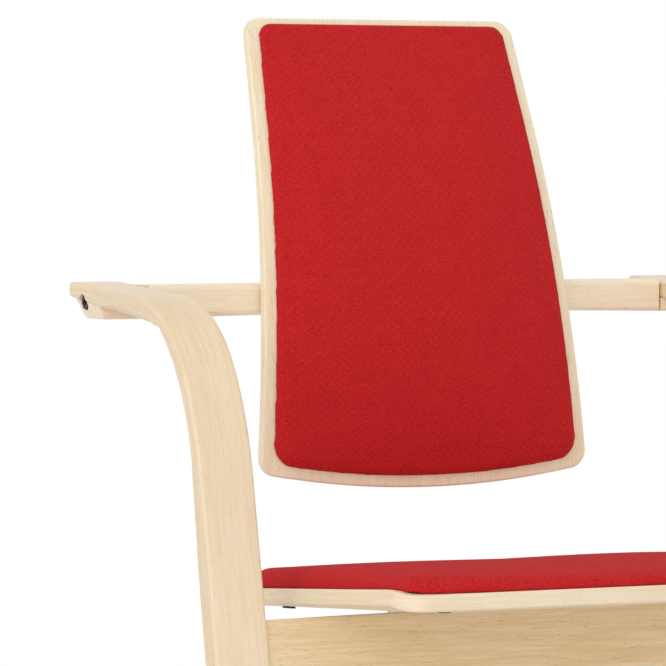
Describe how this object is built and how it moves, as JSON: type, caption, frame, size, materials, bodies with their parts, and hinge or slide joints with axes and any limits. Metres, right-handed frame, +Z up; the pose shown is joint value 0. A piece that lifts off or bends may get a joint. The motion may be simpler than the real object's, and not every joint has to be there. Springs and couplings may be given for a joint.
{
  "type": "armchair",
  "caption": "Bent-wood armchair whose arms, legs and runners are single laminated strips, with a padded plywood seat and a padded curved back that tilts on a cross bar.",
  "frame": {"origin": "on the floor, under the middle of the chair's overall width and depth", "axes": "+X across the chair towards the sitter's left, +Y from front to back, +Z up"},
  "size_m": [0.622, 0.65, 0.929],
  "materials": {
    "strip_wood": "pale laminated wood, clear satin lacquer",
    "block_wood": "pale solid wood, clear satin lacquer",
    "cross_wood": "pale solid wood, clear satin lacquer",
    "seat_wood": "pale moulded plywood, clear satin lacquer",
    "back_wood": "pale moulded plywood, clear satin lacquer",
    "red_fabric": "red woven cloth over foam",
    "black_board": "black board",
    "dark_steel": "black oxide",
    "bright_steel": "zinc plated",
    "rubber": "matte",
    "bush_plastic": "natural nylon"
  },
  "bodies": {
    "frame": {"side_strip_left": "strip_wood", "side_strip_right": "strip_wood", "arm_block_left": "block_wood", "arm_block_right": "block_wood", "seat_rail": "cross_wood", "rear_stretcher": "cross_wood", "rail_bolts": "dark_steel", "rail_nuts": "bright_steel", "rail_dowels": "cross_wood", "stretcher_bolts": "dark_steel", "stretcher_nuts": "bright_steel", "block_screws": "dark_steel", "runner_glide_left": "rubber", "runner_glide_right": "rubber", "pivot_screw_left": "dark_steel", "pivot_screw_right": "dark_steel", "pivot_sleeve_left": "bright_steel", "pivot_sleeve_right": "bright_steel", "stop_pins": "bright_steel", "seat_shell": "seat_wood", "seat_pad_board": "black_board", "seat_cushion": "red_fabric", "pad_screws": "dark_steel", "seat_tee_nuts": "bright_steel", "seat_buffers": "rubber", "seat_bolts": "dark_steel", "seat_bracket_left": "bright_steel", "seat_bracket_right": "bright_steel", "bracket_screws": "dark_steel"},
    "backrest": {"cross_bar": "cross_wood", "pivot_bush_left": "bush_plastic", "pivot_bush_right": "bush_plastic", "back_shell": "back_wood", "back_pad_board": "black_board", "back_cushion": "red_fabric", "back_pad_screws": "dark_steel", "shell_screws": "dark_steel", "back_spacer_left": "cross_wood", "back_spacer_right": "cross_wood"}
  },
  "joints": [
    {"name": "back_tilt", "type": "hinge", "parent": "frame", "child": "backrest", "pos_m": [0, 0.131, 0.67435], "axis": [-1, 0, 0], "range_deg": [0, 12]}
  ]
}
